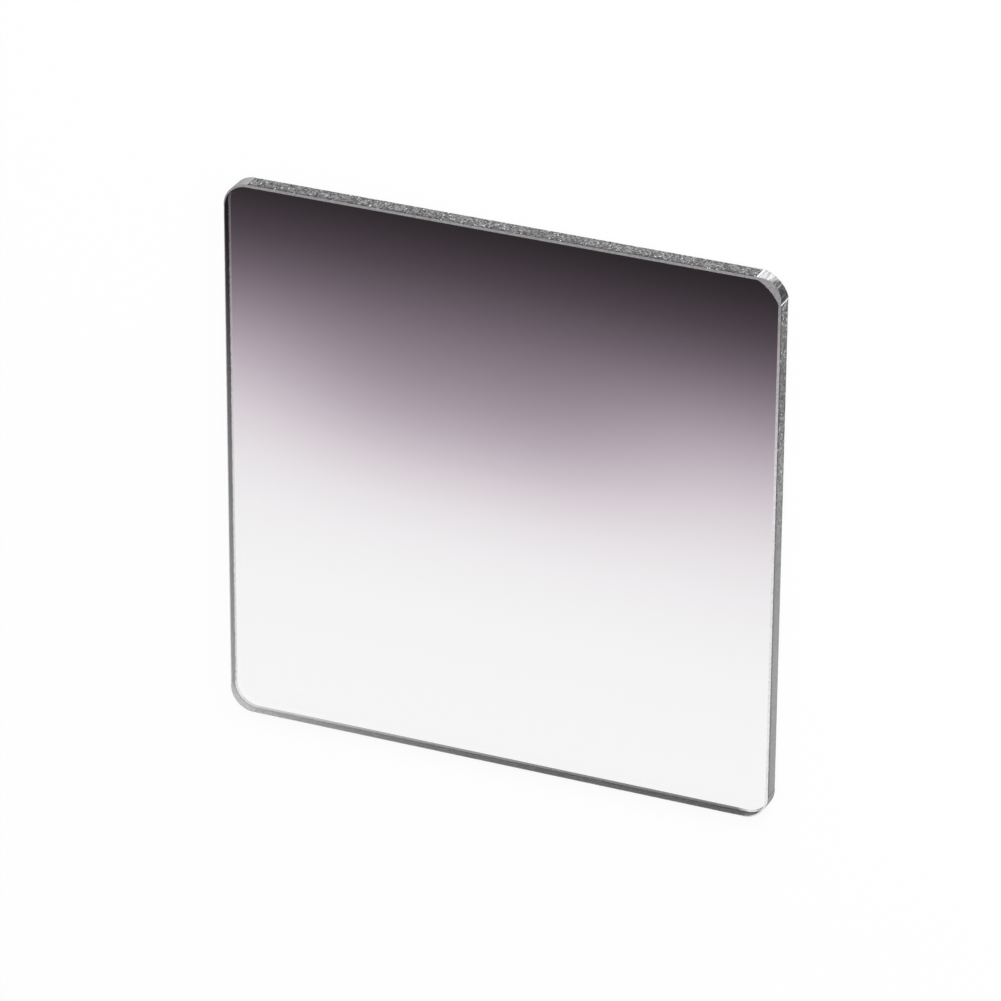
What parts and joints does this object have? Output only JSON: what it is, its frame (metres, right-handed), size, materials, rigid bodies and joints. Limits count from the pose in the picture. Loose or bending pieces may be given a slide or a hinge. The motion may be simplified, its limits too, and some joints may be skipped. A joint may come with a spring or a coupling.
{
  "type": "square graduated neutral density filter",
  "caption": "Square plate of optical glass that is neutral grey at one end and grades to clear at the other, with ground sides, rounded corners and bevelled edges.",
  "frame": {"origin": "middle of the back face, which the plate rests on", "axes": "+X across the plate, +Y along the grade towards the dark end, +Z out of the front face"},
  "size_m": [0.1016, 0.1016, 0.004],
  "materials": {
    "graded_glass": "polished faces that grade from dark neutral grey to clear, fine satin bevels, coarsely ground sides and finely ground corners"
  },
  "bodies": {
    "root": {"filter_plate": "graded_glass"}
  },
  "joints": []
}
